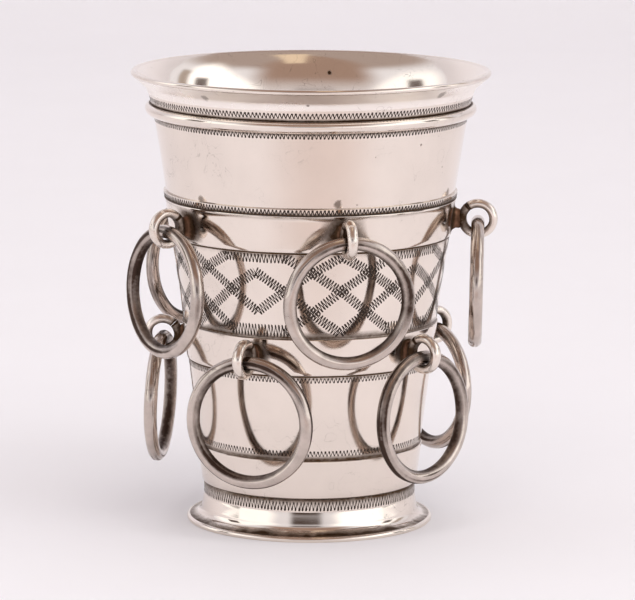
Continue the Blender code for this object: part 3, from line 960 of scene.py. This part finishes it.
def silver_material(name, clean, dark, roughness, cloud_size, cloud_tint, marks):
    """Silver that keeps a brown film where the polishing cloth doesn't reach, and takes the same
    dark where its points carry painted shade and reflections.

    Raised, planished and polished by hand: it mirrors its surroundings softly,
    with clouds of duller metal, hairline scratches, pits and old marks.
    """
    tree, shader, place = start_material(name, 1.0)
    held = add_node(tree, 'Attribute', attribute_name="film_and_painted_light").outputs['Fac']
    cloud = add_node(tree, 'TexNoise', {'Scale': 1.0 / (cloud_size * MM), 'Detail': 4.0,
                                        'Roughness': 0.6}, {'Vector': place})
    speck = add_node(tree, 'TexNoise', {'Scale': 1.0 / (0.7 * MM), 'Detail': 3.0,
                                        'Roughness': 0.65}, {'Vector': place})

    # The film, with the painted shade and reflections that the points carry, broken up by specks and
    # clouds
    both = add_node(tree, 'Math', {1: 0.55, 2: 0.25}, {0: speck}, operation='MULTIPLY_ADD')
    broken = add_node(tree, 'Math', {}, {0: both, 1: cloud}, operation='ADD')
    film = add_node(tree, 'Math', {}, {0: held, 1: broken}, operation='MULTIPLY')
    mask = add_node(tree, 'MapRange', {'From Min': 0.14, 'From Max': 0.8}, {'Value': film})

    # Pits about 7 mm apart, and thin wandering scratches where the metal is duller
    pits = add_node(tree, 'TexVoronoi', {'Scale': 1.0 / (7.0 * MM)}, {'Vector': place})
    hole = add_node(tree, 'MapRange', {'From Min': 0.035, 'From Max': 0.015, 'To Max': 0.7},
                    {'Value': pits})
    wandering = add_node(tree, 'TexNoise', {'Scale': 1.0 / (6.0 * MM), 'Detail': 3.0,
                                            'Distortion': 1.2}, {'Vector': place})
    aside = add_node(tree, 'Math', {1: 0.5, 2: 0.004}, {0: wandering}, operation='COMPARE')
    worn = add_node(tree, 'MapRange', {'From Min': 0.5, 'From Max': 0.62, 'To Max': 0.3},
                    {'Value': cloud})
    scratch = add_node(tree, 'Math', {}, {0: aside, 1: worn}, operation='MULTIPLY')
    found = [hole, scratch]
    for spot, size, strength in marks:
        size *= MM
        away = add_node(tree, 'VectorMath', {1: tuple(part * MM for part in spot)}, {0: place},
                        operation='DISTANCE').outputs['Value']
        ragged = add_node(tree, 'Math', {1: -1.2 * size, 2: 0.6 * size}, {0: speck},
                          operation='MULTIPLY_ADD')
        reach = add_node(tree, 'Math', {}, {0: away, 1: ragged}, operation='ADD')
        found.append(add_node(tree, 'MapRange', {'From Min': size, 'From Max': 0.5 * size,
                                                 'To Max': strength}, {'Value': reach}))
    for other in found:
        mask = add_node(tree, 'Math', {}, {0: mask, 1: other}, operation='MAXIMUM')

    # Clouds of duller metal under the film, and the hairlines that polishing leaves
    dull = add_node(tree, 'MapRange', {'From Min': 0.35, 'From Max': 0.75}, {'Value': cloud})
    cloudy = [channel * cloud_tint for channel in clean[:3]]
    body = add_node(tree, 'Mix', {'A': clean, 'B': (*cloudy, 1.0)}, {'Factor': dull},
                    data_type='RGBA').outputs['Result']
    final = add_node(tree, 'Mix', {'B': dark}, {'Factor': mask, 'A': body}, data_type='RGBA')
    polish = add_node(tree, 'MapRange', {'To Min': roughness[0], 'To Max': roughness[1]},
                      {'Value': dull})
    rough = add_node(tree, 'Math', {1: 0.4}, {0: mask, 2: polish}, operation='MULTIPLY_ADD')
    stretch = add_node(tree, 'Mapping', {'Rotation': (0.5, 0.35, 0.0),
                                         'Scale': (260.0, 260.0, 3200.0)}, {'Vector': place})
    lines = add_node(tree, 'TexNoise', {'Scale': 1.0, 'Detail': 5.0, 'Roughness': 0.7},
                     {'Vector': stretch})
    bump = add_node(tree, 'Bump', {'Strength': 0.12, 'Distance': 0.02 * MM}, {'Height': lines})
    tree.links.new(final.outputs['Result'], shader.inputs['Base Color'])
    tree.links.new(rough.outputs[0], shader.inputs['Roughness'])
    tree.links.new(bump.outputs[0], shader.inputs['Normal'])


def cut_material(name, dark):
    """Silver sulphide and old polish packed in the graver's cuts: dark brown and dull."""
    tree, shader, place = start_material(name, 0.15)
    grain = add_node(tree, 'TexNoise', {'Scale': 1.0 / (0.9 * MM), 'Detail': 3.0},
                     {'Vector': place})
    paler = [min(1.0, channel * 2.2) for channel in dark[:3]]
    worn = add_node(tree, 'MapRange', {'From Min': 0.45, 'From Max': 0.75}, {'Value': grain})
    tint = add_node(tree, 'Mix', {'A': dark, 'B': (*paler, 1.0)}, {'Factor': worn},
                    data_type='RGBA')
    rough = add_node(tree, 'MapRange', {'To Min': 0.45, 'To Max': 0.7}, {'Value': grain})
    tree.links.new(tint.outputs['Result'], shader.inputs['Base Color'])
    tree.links.new(rough.outputs[0], shader.inputs['Roughness'])


def paper_material(name, pale):
    """Seamless studio paper: matt, nearly white, with a faint tooth.

    In front of the beaker, out of the camera's view, it has a painted warm shade, as under the
    dimmer light of a room.
    """
    tree, shader, place = start_material(name, 0.0)
    tooth = add_node(tree, 'TexNoise', {'Scale': 1.0 / (40.0 * MM), 'Detail': 6.0},
                     {'Vector': place})
    shade = [channel * 0.975 for channel in pale[:3]]
    tint = add_node(tree, 'Mix', {'A': pale, 'B': (*shade, 1.0)}, {'Factor': tooth},
                    data_type='RGBA').outputs['Result']
    # A painted warm shade on the paper in front of the beaker
    away = add_node(tree, 'VectorMath', {1: (0.02, -0.28, 0.0)}, {0: place},
                    operation='DISTANCE').outputs['Value']
    near = add_node(tree, 'MapRange', {'From Min': 0.21, 'From Max': 0.07}, {'Value': away},
                    interpolation_type='SMOOTHSTEP')
    painted_warm_shade = (0.84 * pale[0], 0.77 * pale[1], 0.73 * pale[2], 1.0)
    body = add_node(tree, 'Mix', {'B': painted_warm_shade}, {'Factor': near, 'A': tint}, data_type='RGBA')
    tree.links.new(body.outputs['Result'], shader.inputs['Base Color'])
    shader.inputs['Roughness'].default_value = 0.75


# Old marks that the photograph shows: place in millimetres, size and strength
WALL_MARKS = (
    ((24.7, -25.3, 92.8), 1.3, 0.55),
    ((-23.3, -26.2, 92.5), 1.1, 0.5),
    ((20.8, -24.5, 82.3), 0.35, 0.6),
    ((-3.0, -34.3, 91.7), 0.4, 0.7),
    ((3.4, -30.1, 71.0), 1.0, 0.7),
    ((-23.8, -18.7, 70.6), 1.0, 0.6),
    ((27.4, -12.9, 71.0), 1.0, 0.6),
    ((25.9, -17.7, 78.9), 0.3, 0.7),
    ((25.9, -17.6, 76.8), 0.28, 0.6),
    ((22.6, -21.4, 74.2), 0.3, 0.5),
)
CUP_MARKS = (((6.2, 32.2, 90.6), 0.6, 1.0),)


def beaker_materials():
    """Every metal of the beaker, made once."""
    if "raised_silver" not in bpy.data.materials:
        _, colours = settings()
        silver, film = colours.silver, colours.film_and_painted_light
        # Colour, film, roughness from and to, size of the clouds in millimetres, their
        # tint, and the old marks
        for name, clean, dark, roughness, cloud_size, cloud_tint, marks in (
                ("raised_silver", silver, film, (0.07, 0.15), 14.0, 0.92, WALL_MARKS),
                ("inside_silver", colours.inside, film, (0.1, 0.16), 20.0, 0.96, CUP_MARKS),
                # The lip's silver is paler than the wall's: painted light, with a rougher finish
                ("lip_silver", colours.lip_painted_light, film, (0.26, 0.34), 14.0, 0.94, WALL_MARKS),
                ("ring_silver_worn", colours.ring, colours.ring_film_and_painted_reflection, (0.11, 0.2), 4.0, 0.72, ()),
                ("eye_silver_worn", silver, film, (0.14, 0.28), 3.0, 0.88, ()),
                ("copper_tinted_solder", colours.solder, film, (0.26, 0.42), 1.5, 0.7, ())):
            silver_material(name, tuple(clean), tuple(dark), roughness, cloud_size, cloud_tint,
                            marks)
        cut_material("oxide_in_cuts", tuple(colours.cut))
    return bpy.data.materials


class MakeCup(bpy.types.Operator):
    """Make the cup, with the graver's cuts sunk in its wall."""

    bl_idname = "beaker.make_cup"
    bl_label = "Make Cup"

    def execute(self, context):
        metals = beaker_materials()
        cup = cup_turning()
        looks = [metals["raised_silver"], metals["inside_silver"], metals["lip_silver"]]
        place_piece(cup.build("cup_wall", [SILVER, INSIDE, LIP], looks), "polished_silver", "cup")
        cuts = cup.build("cup_engraving", [CUT], [metals["oxide_in_cuts"]], False)
        place_piece(cuts, "polished_silver")
        return {'FINISHED'}


class MakeFoot(bpy.types.Operator):
    """Make the foot with its toothed collar."""

    bl_idname = "beaker.make_foot"
    bl_label = "Make Foot"

    def execute(self, context):
        metals = beaker_materials()
        foot = foot_turning()
        place_piece(foot.build("foot_turned", [SILVER], [metals["raised_silver"]]),
                    "polished_silver", "foot")
        cuts = foot.build("foot_engraving", [CUT], [metals["oxide_in_cuts"]], False)
        place_piece(cuts, "polished_silver")
        return {'FINISHED'}


class MakeWire(bpy.types.Operator):
    """Make the half-round wire round the neck."""

    bl_idname = "beaker.make_wire"
    bl_label = "Make Neck Wire"

    def execute(self, context):
        metals = beaker_materials()
        wire = wire_turning().build("neck_half_round", [SILVER], [metals["raised_silver"]])
        place_piece(wire, "polished_silver", "neck_wire")
        return {'FINISHED'}


class MakeEyes(bpy.types.Operator):
    """Make the ten eyes on their solder."""

    bl_idname = "beaker.make_eyes"
    bl_label = "Make Eyes"

    def execute(self, context):
        sizes, _ = settings()
        metals = beaker_materials()
        draw = random.Random(31)
        for name, seat in sorted(eye_seats().items()):
            looks = [metals["eye_silver_worn"], metals["copper_tinted_solder"]]
            piece = eye_mesh("bent_" + name, seat, sizes, looks, draw)
            place_piece(piece, "eye_silver", name)
        return {'FINISHED'}


class MakeRings(bpy.types.Operator):
    """Make the ten loose rings as they hang."""

    bl_idname = "beaker.make_rings"
    bl_label = "Make Rings"

    def execute(self, context):
        sizes, _ = settings()
        metals = beaker_materials()
        draw = random.Random(47)
        for name in sorted(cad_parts):
            if name.startswith("ring_"):
                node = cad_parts[name]
                piece = ring_mesh("loose_" + name, node, sizes, [metals["ring_silver_worn"]],
                                  draw)
                place_piece(piece, "ring_silver", name)
        return {'FINISHED'}


class MakeStage(bpy.types.Operator):
    """Make the paper, the lights, the surroundings and the camera."""

    bl_idname = "beaker.make_stage"
    bl_label = "Make Stage"

    def execute(self, context):
        _, colours = settings()
        paper_material("studio_paper", tuple(colours.paper))
        make_paper()
        make_lights()
        make_surroundings(tuple(colours.room))
        make_camera()
        scene = context.scene
        scene.view_settings.view_transform = 'Standard'
        scene.view_settings.look = 'None'
        return {'FINISHED'}


def make_paper():
    """A wide sheet that lies under the beaker and curves up behind it."""
    front, back, bend, top = -1.5, 0.9, 0.5, 1.9
    line = [(front, 0.0), (0.0, 0.0), (back, 0.0)]
    for index in range(1, 13):
        angle = math.radians(90.0 * index / 12)
        line.append((back + bend * math.sin(angle), bend - bend * math.cos(angle)))
    line.append((back + bend, top))
    half = 1.8
    points = []
    for across in (-half, half):
        points += [(across, along, rise) for along, rise in line]
    count = len(line)
    faces = [(index, count + index, count + index + 1, index + 1) for index in range(count - 1)]
    mesh = bpy.data.meshes.new("paper_sweep")
    mesh.from_pydata(points, [], faces)
    mesh.materials.append(bpy.data.materials["studio_paper"])
    mesh.shade_smooth()
    paper = bpy.data.objects.new("paper_sweep", mesh)
    bpy.context.scene.collection.objects.link(paper)


# Softboxes that light the paper and don't show in the metal: where each stands, the
# point that it faces, its width and height, and its power
LIGHTS = (
    ("light_above", (0.0, 0.0, 1.3), (0.0, 0.0, 0.0), (1.3, 1.3), 3.2),
    ("light_in_front", (0.15, -0.8, 0.95), (0.0, 0.0, 0.0), (1.8, 0.7), 8.2),
    ("backdrop_light", (0.0, 0.45, 1.0), (0.0, 1.3, 0.45), (1.6, 0.3), 1.7),
)


def make_lights():
    """Soft light on the paper, which the metal mirrors; the tent gives the rest."""
    for name, place, target, size, power in LIGHTS:
        lamp = bpy.data.lights.new(name, 'AREA')
        lamp.shape = 'RECTANGLE'
        lamp.size, lamp.size_y = size
        lamp.energy = power
        light = bpy.data.objects.new(name, lamp)
        bpy.context.scene.collection.objects.link(light)
        light.location = place
        facing = Vector(target) - light.location
        light.rotation_euler = facing.to_track_quat('-Z', 'Y').to_euler()
        light.visible_glossy = False


# White panels of the light tent and the darker things seen in its opening. Angles are
# degrees: bearing from -Y towards +X, and elevation, each from and to. Then come how
# soft the edges are, how far the inner edge leans out for each degree of elevation, the
# colour and the strength. A later one covers those before it.
SURROUNDINGS = (
    ("tent", -400.0, 400.0, -90.0, 46.0, 16.0, 0.0, "#F2F1F7", 1.0),
    ("opening", -54.0, 40.0, 18.0, 100.0, 28.0, 0.0, "#A68C7E", 1.0),
    ("right_panel", 18.0, 104.0, -6.0, 48.0, 18.0, 1.3, "#FFFEFD", 1.55),
    ("left_panel", -118.0, -36.0, -6.0, 34.0, 18.0, -1.3, "#FFFEFD", 1.35),
    ("left_post", -100.0, -85.0, 2.5, 24.0, 3.0, 0.0, "#6B5F5C", 1.0),
    ("right_post", 83.0, 96.0, 2.5, 25.0, 3.0, 0.0, "#6E6361", 1.0),
    ("tent_frame", 105.0, 116.0, 7.0, 34.0, 4.0, 0.0, "#B3A59B", 1.0),
    ("camera", -23.0, 9.0, 4.0, 14.0, 9.0, 0.0, "#46372F", 1.0),
)
# The window in the room's ceiling: from and to across, from and to towards the back, as
# parts of a direction whose length is 1, and its colour
WINDOW = ((0.02, 0.2), (-0.46, 0.12), "#F0D9BE")


def make_surroundings(room):
    """A light tent that is open at the top and in front, where a warm room shows."""
    world = bpy.data.worlds.new("light_tent")
    world.use_nodes = True
    tree = world.node_tree
    way = add_node(tree, 'TexCoord').outputs['Generated']
    parts = add_node(tree, 'SeparateXYZ', {}, {'Vector': way}).outputs
    ahead = add_node(tree, 'Math', {1: -1.0}, {0: parts['Y']}, operation='MULTIPLY')
    turned = add_node(tree, 'Math', {}, {0: parts['X'], 1: ahead}, operation='ARCTAN2')
    bearing = add_node(tree, 'Math', {}, {0: turned}, operation='DEGREES')
    lifted = add_node(tree, 'Math', {}, {0: parts['Z']}, operation='ARCSINE')
    rise = add_node(tree, 'Math', {}, {0: lifted}, operation='DEGREES')

    def cover(links, edges, soft, on_top):
        """Lay a colour over what the links bring, within edges that fade inwards."""
        mask = None
        for value, edge, inwards in edges:
            ends = {'From Min': edge - inwards * soft / 2.0, 'From Max': edge + inwards * soft / 2.0}
            side = add_node(tree, 'MapRange', ends, {'Value': value},
                            interpolation_type='SMOOTHSTEP')
            if mask is not None:
                side = add_node(tree, 'Math', {}, {0: mask, 1: side}, operation='MULTIPLY')
            mask = side
        mix = add_node(tree, 'Mix', {'A': room, 'B': (*on_top, 1.0)}, {'Factor': mask, **links},
                       data_type='RGBA', clamp_result=False)
        return {'A': mix.outputs['Result']}

    (left, right), (front, back), window_code = WINDOW
    window = ((parts['X'], left, 1.0), (parts['X'], right, -1.0),
              (parts['Y'], front, 1.0), (parts['Y'], back, -1.0))
    shade = {}
    for name, left, right, low, high, soft, lean, code, strength in SURROUNDINGS:
        leaning = bearing
        if lean:
            leaning = add_node(tree, 'Math', {1: -lean}, {0: rise, 2: bearing},
                               operation='MULTIPLY_ADD')
        edges = ((leaning if lean > 0.0 else bearing, left, 1.0),
                 (leaning if lean < 0.0 else bearing, right, -1.0),
                 (rise, low, 1.0), (rise, high, -1.0))
        shade = cover(shade, edges, soft, [part * strength for part in linear(code)[:3]])
        if name == "opening":
            shade = cover(shade, window, 0.02, linear(window_code)[:3])
    tree.links.new(shade['A'], tree.nodes["Background"].inputs['Color'])
    bpy.context.scene.world = world


def make_camera():
    """The photograph's camera: its place, angle, framing and slight roll."""
    image_width = 635.0
    focal_pixels = 4584.8
    aim = Vector((0.0, 0.0, 47.5 * MM))
    distance = 961.1 * MM
    bearing = math.radians(-4.0)
    elevation = math.radians(9.349)
    roll = math.radians(0.231)
    shift_right, shift_up = 7.4, 5.06
    data = bpy.data.cameras.new("camera")
    data.sensor_fit = 'HORIZONTAL'
    data.sensor_width = 36.0
    data.lens = focal_pixels / image_width * data.sensor_width
    data.shift_x = shift_right / image_width
    data.shift_y = -shift_up / image_width
    data.clip_start, data.clip_end = 0.01, 20.0
    camera = bpy.data.objects.new("camera", data)
    bpy.context.scene.collection.objects.link(camera)
    back = Vector((math.sin(bearing) * math.cos(elevation),
                   -math.cos(bearing) * math.cos(elevation), math.sin(elevation)))
    camera.location = aim + back * distance
    turn = (-back).to_track_quat('-Z', 'Y').to_matrix().to_4x4()
    camera.rotation_euler = (turn @ Matrix.Rotation(roll, 4, 'Z')).to_euler()
    bpy.context.scene.camera = camera


OPERATORS = (MakeCup, MakeFoot, MakeWire, MakeEyes, MakeRings, MakeStage)


class BeakerPanel(bpy.types.Panel):
    """Lists the beaker's pieces, sizes and colours in the sidebar."""

    bl_idname = "VIEW3D_PT_beaker"
    bl_label = "Silver Ring Beaker"
    bl_space_type = 'VIEW_3D'
    bl_region_type = 'UI'
    bl_category = "Beaker"

    def draw(self, context):
        layout = self.layout
        for operator in OPERATORS:
            layout.operator(operator.bl_idname)
        for group in settings():
            box = layout.box()
            for name in group.__annotations__:
                box.prop(group, name)


CLASSES = (BeakerSizes, BeakerColours, *OPERATORS, BeakerPanel)


def register():
    for kind in CLASSES:
        bpy.utils.register_class(kind)
    bpy.types.Scene.beaker_sizes = PointerProperty(type=BeakerSizes)
    bpy.types.Scene.beaker_colours = PointerProperty(type=BeakerColours)


def unregister():
    del bpy.types.Scene.beaker_colours
    del bpy.types.Scene.beaker_sizes
    for kind in reversed(CLASSES):
        bpy.utils.unregister_class(kind)


def main():
    """Register the classes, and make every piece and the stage."""
    register()
    bpy.ops.beaker.make_cup()
    bpy.ops.beaker.make_foot()
    bpy.ops.beaker.make_wire()
    bpy.ops.beaker.make_eyes()
    bpy.ops.beaker.make_rings()
    bpy.ops.beaker.make_stage()


if __name__ == "__main__":
    main()
